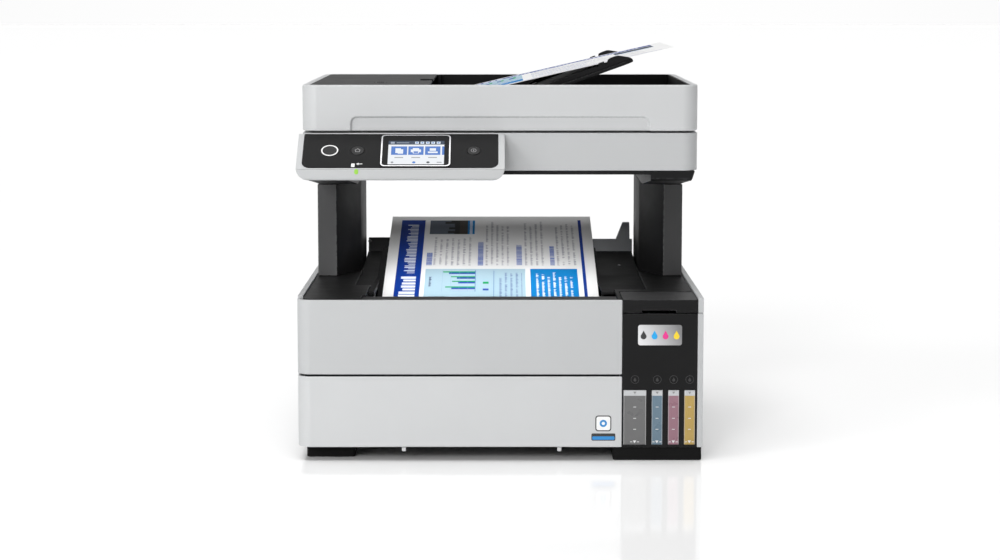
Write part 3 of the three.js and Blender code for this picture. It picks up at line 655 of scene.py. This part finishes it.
# A merged copy of one CAD node with rounded edges; the new faces are marked as rubbed.
def skin(name, look, width, segments=2, others=(), plain=False):
    node = frame["nodes"][name]
    bm = bmesh.new()
    bm.from_mesh(node.data)
    bmesh.ops.remove_doubles(bm, verts=bm.verts, dist=0.00002)
    if not plain:
        bmesh.ops.dissolve_limit(bm, angle_limit=math.radians(0.7), verts=bm.verts, edges=bm.edges)
    rub = bm.faces.layers.float.new("rub")
    if width:
        sharp = [e for e in bm.edges
                 if len(e.link_faces) == 2 and e.calc_face_angle(0) > math.radians(roundedAngle)]
        made = bmesh.ops.bevel(bm, geom=sharp, offset=width * 0.001, offset_type="OFFSET",
                               segments=segments, profile=0.5, affect="EDGES", material=-1,
                               clamp_overlap=plain)
        for face in made["faces"]:
            face[rub] = 1
    looks = [look] + [other["look"] for other in others]
    for index, other in enumerate(others):
        for face in bm.faces:
            if other["test"](face.calc_center_median() * 1000):
                face.material_index = index + 1
    made = finishMesh(bm, name + "Shell", looks, node["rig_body"])
    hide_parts(name)
    return made


# Camera and light.
studio = {
    "sky": {"From Min": 0.22, "From Max": 0.45, "To Min": 1.0, "To Max": 0.28},
    "sides": 0.7,
    "floor": {"tone": 0.93, "gloss": 0.22, "rough": 0.08},
    "camera": {"place": (0, -2.3683, 0.4316), "down": 6.84, "lens": 86.4, "sensor": 36, "reach": 100},
}
# Suns are set by angles; soft lights go from one place to another, in millimetres.
lights = {
    "frontSun": {"azimuth": -18, "height": 24, "power": 0.72, "spread": 12},
    "leftSun": {"azimuth": -56, "height": 26, "power": 0.36, "spread": 12},
    "frontLamp": {"place": (-620, -820, 380), "aim": (0, 0, 190), "size": (0.5, 0.4), "power": 2.2,
                  "spread": 160},
    "highSun": {"azimuth": -32, "height": 84, "power": 2.1, "spread": 46},
    "bayLight": {"place": (-10, -90, 252), "aim": (-10, 164, 149), "size": (0.24, 0.03), "power": 0.2,
                 "spread": 30},
}


def makeCamera():
    view = studio["camera"]
    data = bpy.data.cameras.new("camera")
    data.lens = view["lens"]
    data.sensor_width = view["sensor"]
    data.clip_end = view["reach"]
    camera = bpy.data.objects.new("camera", data)
    camera.location = view["place"]
    camera.rotation_euler = (math.radians(90 - view["down"]), 0, 0)
    scene.collection.objects.link(camera)
    scene.camera = camera


def areaLight(name, light):
    data = bpy.data.lights.new(name, "AREA")
    data.shape = "RECTANGLE"
    data.size, data.size_y = light["size"]
    data.energy = light["power"]
    data.spread = math.radians(light["spread"])
    lamp = bpy.data.objects.new(name, data)
    start, end = toFrame @ Vector(light["place"]), toFrame @ Vector(light["aim"])
    lamp.location = start
    lamp.rotation_euler = (end - start).to_track_quat("-Z", "Y").to_euler()
    lamp.visible_camera = False
    scene.collection.objects.link(lamp)


def makeFloor():
    bm = bmesh.new()
    bmesh.ops.create_grid(bm, x_segments=1, y_segments=1, size=30)
    mesh = bpy.data.meshes.new("floor")
    bm.to_mesh(mesh)
    bm.free()
    material = bpy.data.materials.new("floor")
    material.use_nodes = True
    tree = material.node_tree
    tree.nodes.clear()
    matt = tree.nodes.new("ShaderNodeBsdfDiffuse")
    matt.inputs["Color"].default_value = (*[studio["floor"]["tone"]] * 3, 1)
    gloss = tree.nodes.new("ShaderNodeBsdfGlossy")
    gloss.inputs["Color"].default_value = (1, 1, 1, 1)
    gloss.inputs["Roughness"].default_value = studio["floor"]["rough"]
    both = tree.nodes.new("ShaderNodeMixShader")
    both.inputs["Fac"].default_value = studio["floor"]["gloss"]
    ending = tree.nodes.new("ShaderNodeOutputMaterial")
    tree.links.new(matt.outputs[0], both.inputs[1])
    tree.links.new(gloss.outputs[0], both.inputs[2])
    tree.links.new(both.outputs[0], ending.inputs["Surface"])
    mesh.materials.append(material)
    floor = bpy.data.objects.new("floor", mesh)
    scene.collection.objects.link(floor)


# Bright near the horizon, dimmer overhead.
def makeWorld():
    world = bpy.data.worlds.new("studio")
    world.use_nodes = True
    tree = world.node_tree
    background = tree.nodes["Background"]
    source = tree.nodes.new("ShaderNodeTexCoord")
    parts = tree.nodes.new("ShaderNodeSeparateXYZ")
    ramp = tree.nodes.new("ShaderNodeMapRange")
    for key, value in studio["sky"].items():
        ramp.inputs[key].default_value = value
    tree.links.new(source.outputs["Generated"], parts.inputs[0])
    tree.links.new(parts.outputs["Z"], ramp.inputs["Value"])
    square = tree.nodes.new("ShaderNodeMath")
    square.operation = "POWER"
    square.inputs[1].default_value = 2
    fall = tree.nodes.new("ShaderNodeMath")
    fall.operation = "MULTIPLY_ADD"
    fall.inputs[1].default_value = -studio["sides"]
    fall.inputs[2].default_value = 1
    both = tree.nodes.new("ShaderNodeMath")
    both.operation = "MULTIPLY"
    tree.links.new(parts.outputs["X"], square.inputs[0])
    tree.links.new(square.outputs[0], fall.inputs[0])
    tree.links.new(fall.outputs[0], both.inputs[0])
    tree.links.new(ramp.outputs[0], both.inputs[1])
    tree.links.new(both.outputs[0], background.inputs["Strength"])
    background.inputs["Color"].default_value = (1, 1, 1, 1)
    scene.world = world


def sunLight(name, light):
    data = bpy.data.lights.new(name, "SUN")
    data.energy = light["power"]
    data.angle = math.radians(light["spread"])
    lamp = bpy.data.objects.new(name, data)
    turn, rise = math.radians(light["azimuth"]), math.radians(light["height"])
    away = Vector((math.sin(turn) * math.cos(rise), -math.cos(turn) * math.cos(rise), math.sin(rise)))
    lamp.location = away * 3
    lamp.rotation_euler = (-away).to_track_quat("-Z", "Y").to_euler()
    scene.collection.objects.link(lamp)


makeCamera()
makeWorld()
makeFloor()
for name, light in lights.items():
    if "azimuth" in light:
        sunLight(name, light)
    else:
        areaLight(name, light)
scene.view_settings.view_transform = "Standard"
print("stage ready")

# Shells.
# Front panel, sides, scanner housing and control panel take the darker shell colour as painted shade;
# cassette front and feeder lid take the plain shell.
skins = {
    "front_panel": ("shell_painted_shade", 0.9, 3), "cassette_front": ("shell", 0.9, 3),
    "left_side_panel": ("shell_painted_shade", 0.6, 2), "right_side_panel": ("shell_painted_shade", 0.6, 2),
    "scanner_housing": ("shell_painted_shade", 0.9, 3), "feeder_lid_shell": ("shell", 1.5, 3),
    "control_panel_shell": ("shell_painted_shade", 0.5, 2),
    "base_chassis": ("black_plastic", 0.4, 1), "base_top_frame": ("black_plastic", 0.5, 2),
    "rear_cover": ("black_plastic", 0.5, 2), "power_inlet": ("black_plastic", 0.4, 2),
    "scanner_base": ("black_plastic", 0.9, 2), "platen": ("black_plastic", 0.3, 1),
    "ink_tank_frame": ("black_plastic", 0.35, 2), "front_lip": ("lip_trim", 0.6, 2),
    "panel_face": ("panel", 0.2, 2), "display_module": ("panel", 0.3, 2),
    "foot_front_left": ("rubber", 1.0, 2), "foot_front_right": ("rubber", 1.0, 2),
    "foot_rear_left": ("rubber", 1.0, 2), "foot_rear_right": ("rubber", 1.0, 2),
    "carriage_belt": ("rubber", 0, 1), "carriage_rail": ("steel", 0.3, 1),
    "scanner_glass": ("glass", 0.3, 1), "main_board": ("board", 0.2, 1),
    "power_supply": ("power_case", 0.5, 2),
    "ink_tank_black": ("ink_black", 0.3, 2), "ink_tank_cyan": ("ink_cyan", 0.3, 2),
    "ink_tank_magenta": ("ink_magenta", 0.3, 2), "ink_tank_yellow": ("ink_yellow", 0.3, 2),
    "cassette_tray": ("black_plastic", 0.4, 2), "cassette_guide_left": ("slate", 0.3, 1),
    "cassette_guide_right": ("slate", 0.3, 1),
    "tank_cap_black": ("ink_black", 0.4, 2), "tank_cap_cyan": ("ink_cyan", 0.4, 2),
    "tank_cap_magenta": ("ink_magenta", 0.4, 2), "tank_cap_yellow": ("ink_yellow", 0.4, 2),
    # The printer cover is painted darker than the other black plastic: painted shade under the scanner.
    "printer_cover": ("tray_black_painted_shade", 0.4, 2), "output_support": ("slate", 0.5, 2),
    "print_carriage": ("black_plastic", 0.6, 2), "drive_pulley": ("steel", 0.2, 1),
    "feed_roller": ("rubber", 0.2, 1), "exit_roller": ("rubber", 0.2, 1),
    "pick_roller": ("rubber", 0.2, 1), "scan_carriage": ("black_plastic", 0.5, 2),
    "power_button": ("button", 0.15, 2), "home_button": ("button", 0.15, 2),
    "help_button": ("button", 0.15, 2), "document_output_tray": ("panel", 0.5, 2),
    "lid_pad": ("foam", 0.6, 2), "feeder_cover": ("black_plastic", 0.6, 2),
    "feeder_roller": ("rubber", 0.3, 1), "document_tray": ("panel", 0.7, 2),
    "document_guide_front": ("black_plastic", 0.15, 2), "document_guide_rear": ("black_plastic", 0.15, 2),
}
# Faces with several holes keep their triangles, and their narrow edges clamp the rounding.
holed = ("document_output_tray", "panel_face", "tank_cap_black", "tank_cap_cyan", "tank_cap_magenta",
         "tank_cap_yellow", "print_carriage", "ink_tank_black")
for name, (look, width, segments) in skins.items():
    skin(name, look, width, segments, plain=name in holed)
# The tank cover's top is painted lighter, as painted light falling from above, and its right edge is part of
# the pale side.
coverParts = {"top": 150.3, "side": 182.25}
skin("ink_tank_cover", "black_plastic", 0.6, 2, others=(
    {"look": "cover_top_painted_light", "test": lambda middle: middle.z > coverParts["top"]},
    {"look": "shell_painted_shade", "test": lambda middle: middle.x > coverParts["side"]}))
# The column front faces take the lighter trim colour as painted light on the faces turned to the lamps.
columnFront = {"inside": 162.2, "behind": 4.6}
for name in ("left_column", "right_column"):
    skin(name, "black_plastic", 0.9, 3, others=(
        {"look": "trim", "test": lambda middle: abs(middle.x) > columnFront["inside"]
         and middle.y < columnFront["behind"]},))
print("skins made")


# Printed sheets, gently bowed.
sheetLook = {"across": 24, "along": 32, "thickness": 0.12}


def paperSheet(name, node, look, matrix, width, length, corner, bow, toPage, body):
    bm = bmesh.new()
    bmesh.ops.create_grid(bm, x_segments=sheetLook["across"], y_segments=sheetLook["along"], size=0.5)
    bmesh.ops.scale(bm, vec=(width, length, 1), verts=bm.verts)
    bmesh.ops.translate(bm, vec=(corner[0] + width / 2, corner[1] + length / 2, 0), verts=bm.verts)
    page = bm.loops.layers.uv.new("page")
    for face in bm.faces:
        for loop in face.loops:
            loop[page].uv = toPage(loop.vert.co.x, loop.vert.co.y)
    for vert in bm.verts:
        vert.co.z = bow(vert.co.x, vert.co.y)
    bm.normal_update()
    bmesh.ops.solidify(bm, geom=bm.faces, thickness=sheetLook["thickness"])
    bmesh.ops.transform(bm, matrix=toFrame @ matrix, verts=bm.verts)
    made = finishMesh(bm, name, [look], body)
    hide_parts(node)


halfSheet = sheetSize["width"] / 2
printBow = {"lift": 0.35, "wave": 0.15, "pitch": 60}
paperSheet("printedPage", "printed_sheet", "print", onSheet, sheetSize["width"], sheetSize["length"],
           (sheetSize["left"], 0),
           lambda x, y: (printBow["lift"] * (y / sheetSize["length"]) ** 2
                         + printBow["wave"] * math.sin(y / printBow["pitch"])),
           lambda x, y: (x - sheetSize["left"], sheetSize["length"] - y), "output_cover")
documentBow = {"lift": 0.5, "reach": 243, "stretch": 1.14}
paperSheet("documentPage", "document_sheet", "document", onDocument, documentBow["reach"],
           sheetSize["width"], (-documentBow["reach"], lidMiddle - halfSheet),
           lambda x, y: documentBow["lift"] * math.sin(math.pi * -x / documentBow["reach"]),
           lambda x, y: (lidMiddle + halfSheet - y, -x * documentBow["stretch"]), "feed_tray")
print("sheets made")

# Control panel marks.
screen = {"outline": (-110, -45.4, 1.4, 48.4), "rims": ((0.2, 4), (1.5, 2.8)), "foot": 0.7, "top": 1.05,
          "glass": (0.6, 0.98)}


def makeScreen():
    x0, x1, y0, y1 = screen["outline"]
    bezel = Sculpt()
    part = bmesh.new()
    rims = []
    for inset, radius in screen["rims"]:
        points = roundPoints(x0 + inset, x1 - inset, y0 + inset, y1 - inset, radius)
        corners = [part.verts.new((x, y, screen["foot"])) for x, y in points]
        rims += [part.edges.new(pair) for pair in zip(corners, corners[1:] + corners[:1])]
    bmesh.ops.bridge_loops(part, edges=rims)
    raised = bmesh.ops.extrude_face_region(part, geom=part.faces[:])["geom"]
    moved = [v for v in raised if isinstance(v, bmesh.types.BMVert)]
    bmesh.ops.translate(part, vec=(0, 0, screen["top"] - screen["foot"]), verts=moved)
    bezel.take(part, onPanel)
    detail("displayRim", bezel, ["silver"], "base", "display")
    glass = Sculpt()
    glass.outline(roundPoints(screenLook["left"], screenLook["right"], screenLook["low"],
                              screenLook["high"], 0.5), *screen["glass"], 0, onPanel)
    detail("displayGlass", glass, ["display"], "base", "display")


makeScreen()

keyMark = {"row": 25.3, "power": -157, "home": -131.3, "help": -24.3, "low": 0.4, "high": 0.62,
           "plate": (-136.3, -133.1, 1.4, 6.6), "lens": (-133.2, -129.6, 266.2, 271.2),
           "arrow": ((-126.2, 6.4), (-129.6, 6.4), (-129.6, 7.6), (-131.8, 6.0), (-129.6, 4.4),
                     (-129.6, 5.6), (-126.2, 5.6))}


def makeKeyMarks():
    row, low, high = keyMark["row"], keyMark["low"], keyMark["high"]
    ring = Sculpt()
    ring.ring(keyMark["power"], row, 6.7, 7.9, 0.3, high, onPanel)
    detail("powerRing", ring, ["white_mark"], "power_key", "button")
    home = Sculpt()
    x = keyMark["home"]
    for left, right, top in ((-2.1, -1.6, 0.4), (1.6, 2.1, 0.4), (-2.1, 2.1, -1.7)):
        home.block((x + left, row - 2.2, low), (x + right, row + top, high), 0, onPanel)
    roof = ((-3, 0.3), (-2.4, 0.3), (0, 2.3), (2.4, 0.3), (3, 0.3), (0, 2.9))
    home.outline([(x + across, row + up) for across, up in roof], low, high, 0, onPanel)
    detail("homeMark", home, ["grey_mark"], "home_key", "button")
    aid = Sculpt()
    x = keyMark["help"]
    aid.ring(x, row, 2.1, 2.5, low, high, onPanel)
    aid.block((x - 0.3, row - 1.2, low), (x + 0.3, row + 0.5, high), 0, onPanel)
    aid.disc(x, row + 1.2, 0.35, low, high, 0, onPanel, sides=12)
    detail("helpMark", aid, ["grey_mark"], "help_key", "button")
    link = Sculpt()
    link.outline(roundPoints(*keyMark["plate"], 0.6), 0.0, 0.12, 0, onPanel)
    link.outline(keyMark["arrow"], 0.0, 0.12, 0, onPanel)
    detail("linkMark", link, ["white_mark"], "base", "panel")
    lens = Sculpt()
    lens.outline(roundPoints(*keyMark["lens"], 1.6), -0.5, 0.3, 0.1, frontAt(0))
    detail("statusLens", lens, ["lamp"], "base", "display")


makeKeyMarks()
print("panel marks made")

# Ink tank badge and filler marks.
badge = {"x": (127.2, 167.7), "z": (108.4, 127.4), "round": 2.2, "drop": 2.7,
         "marks": (124.6, 145.2, 160.4, 175.2), "markRow": 76.4}


def dropPoints(x, y, radius, steps=18):
    points = []
    for i in range(steps + 1):
        turn = math.radians(-225 + 270 * i / steps)
        points.append((x + radius * math.cos(turn), y + radius * math.sin(turn)))
    points.append((x, y + radius * 2.0))
    return points


def makeBadge():
    plate = Sculpt()
    front = frontAt(0.3)
    (x0, x1), (z0, z1) = badge["x"], badge["z"]
    plate.outline(roundPoints(x0, x1, z0, z1, badge["round"]), 0, 0.5, 0.15, front)
    middle = (z0 + z1) / 2
    for index in range(4):
        x = x0 + (x1 - x0) * (index + 0.5) / 4
        plate.outline(dropPoints(x, middle - 1.2, badge["drop"]), 0.45, 0.75, 0, front, index + 1)
    detail("tankBadge", plate, ["badge", "dye_black", "dye_cyan", "dye_magenta", "dye_yellow"], "base",
           "black_plastic")
    marks = Sculpt()
    for x in badge["marks"]:
        marks.ring(x, badge["markRow"], 3.4, 3.85, 0, 0.22, front)
        marks.outline(dropPoints(x, badge["markRow"] - 0.6, 1.3, 12), 0, 0.22, 0, front)
    detail("tankMarks", marks, ["trim"], "base", "black_plastic")


makeBadge()


# Small sticker on the cassette: a framed disc over a bar, in thin layers.
sticker = {"middle": (95.6, 35.4), "squares": ((7.4, 2.6, 0, 0.1), (6.4, 1.9, 0.08, 0.14)),
           "disc": 3.4, "hole": 1.5,
           "bar": (84.6, 106.8, 19.2, 26.0), "stripe": (85.4, 106.0, 20.0, 23.2)}


def makeNotice():
    notice = Sculpt()
    front = frontAt(0.0)
    x, z = sticker["middle"]
    for index, (half, rounding, low, high) in enumerate(sticker["squares"]):
        notice.outline(roundPoints(x - half, x + half, z - half, z + half, rounding), low, high, 0,
                       front, index)
    notice.disc(x, z, sticker["disc"], 0.12, 0.18, 0, front, 2)
    notice.disc(x, z, sticker["hole"], 0.16, 0.22, 0, front, 1)
    notice.outline(roundPoints(*sticker["bar"], 1.2), 0, 0.1, 0, front, 0)
    notice.outline(roundPoints(*sticker["stripe"], 0.8), 0.08, 0.14, 0, front, 2)
    detail("noticeSticker", notice, ["dye_black", "white_mark", "dye_blue"], "cassette", "shell")


makeNotice()
print("badge and notice made")

# Back of the body.
rear = {"face": 347.0, "ports": ((104, 118, 26, 38), (78, 94, 25, 39)), "door": (-60, 120, 58, 84),
        "pull": (10, 50, 62, 68), "ridges": {"count": 5, "left": 14, "pitch": 8},
        "label": (-20, 40, 96, 126), "lines": {"count": 5, "left": -16, "low": 100, "pitch": 4.6},
        "screws": ((-174, 20), (174, 20), (-174, 141), (174, 141), (0, 141))}


def makeRear():
    back = rearAt(rear["face"])
    ports = Sculpt()
    for x0, x1, z0, z1 in rear["ports"]:
        middle = (z0 + z1) / 2
        ports.outline(roundPoints(x0, x1, z0, z1, 1), 0, 0.5, 0.15, back, 0)
        ports.outline(roundPoints(x0 + 1.6, x1 - 1.6, z0 + 1.6, z1 - 1.6, 0.6), 0.4, 0.6, 0, back, 1)
        ports.block((x0 + 4, middle - 1, 0.5), (x1 - 4, middle + 1.4, 0.9), 0.1, back, 2)
    detail("rearPorts", ports, ["steel", "dye_black", "white_mark"], "base", "black_plastic")
    door = Sculpt()
    door.outline(roundPoints(*rear["door"], 3), 0, 1.4, 0.5, back)
    door.outline(roundPoints(*rear["pull"], 2), 1.3, 2.2, 0.4, back)
    ridge = rear["ridges"]
    for i in range(ridge["count"]):
        x = ridge["left"] + ridge["pitch"] * i
        door.block((x, 62.5, 2.0), (x + 1.4, 67.5, 2.6), 0.3, back)
    detail("rearDoor", door, ["black_plastic"], "base", "black_plastic")
    label = Sculpt()
    label.outline(roundPoints(*rear["label"], 1.5), 0, 0.12, 0, back, 0)
    line = rear["lines"]
    for i in range(line["count"]):
        z = line["low"] + line["pitch"] * i
        label.block((line["left"], z, 0.1), (20 + 3 * (i % 3), z + 1.6, 0.16), 0, back, 1)
    detail("ratingLabel", label, ["silver", "trim"], "base", "black_plastic")
    screws = Sculpt()
    for x, z in rear["screws"]:
        screws.disc(x, z, 3.2, 0, 1.0, 0.4, back, 0, 28)
        for wide, tall in ((2.2, 0.4), (0.4, 2.2)):
            screws.block((x - wide, z - tall, 0.9), (x + wide, z + tall, 1.12), 0, back, 1)
    detail("rearScrews", screws, ["steel", "dye_black"], "base", "black_plastic")


makeRear()


# Tray details: ribs, nubs and marks.
trayLook = {"rearNub": (-137.8, 170, 338.9), "sideNub": (122, 250, 152.6), "nub": 1.7,
            "ribs": {"count": 7, "first": 80, "pitch": 38, "left": -50, "right": 150, "z": 309.2},
            "lines": {"count": 5, "first": 120, "pitch": 37.7, "left": 8, "right": 52},
            "mark": {"left": -120, "right": -108, "front": 100, "rear": 116, "z": 345.8}}


def makeTrayDetails():
    nubs = Sculpt()
    x, z, y = trayLook["rearNub"]
    nubs.disc(x, z, trayLook["nub"], 0, 1.6, 0.5, frontAt(y))
    x, y, z = trayLook["sideNub"]
    nubs.disc(x, y, trayLook["nub"], z, z + 2.4, 0.6)
    detail("trayNub", nubs, ["trim"], "base", "black_plastic")
    ribs, rib = Sculpt(), trayLook["ribs"]
    for i in range(rib["count"]):
        y = rib["first"] + rib["pitch"] * i
        ribs.block((rib["left"], y, rib["z"]), (rib["right"], y + 1.6, rib["z"] + 1.2), 0.4)
    detail("trayRibs", ribs, ["panel"], "feeder_lid", "panel")
    lines, line = Sculpt(), trayLook["lines"]
    for i in range(line["count"]):
        y = line["first"] + line["pitch"] * i
        lines.block((line["left"], y, -0.1), (line["right"], y + 1.4, 0.16), 0.05, onFeed)
    detail("feedRibs", lines, ["panel"], "feed_tray", "panel")
    sheets, mark = Sculpt(), trayLook["mark"]
    x0, x1, y0, y1, z = mark["left"], mark["right"], mark["front"], mark["rear"], mark["z"]
    sheets.outline(roundPoints(x0, x1, y0, y1, 1), z, z + 0.3, 0)
    sheets.outline(roundPoints(x0 + 1, x1 - 1, y0 + 1, y1 - 1, 0.6), z + 0.2, z + 0.35, 0, None, 1)
    for i in range(4):
        y = y0 + 4 + 2.6 * i
        sheets.block((x0 + 2.6, y, z + 0.3), (x1 - 2.6, y + 0.8, z + 0.4), 0, None, 0)
    detail("feederMark", sheets, ["panel", "trim"], "feeder_flap", "black_plastic")


makeTrayDetails()
print("details made")
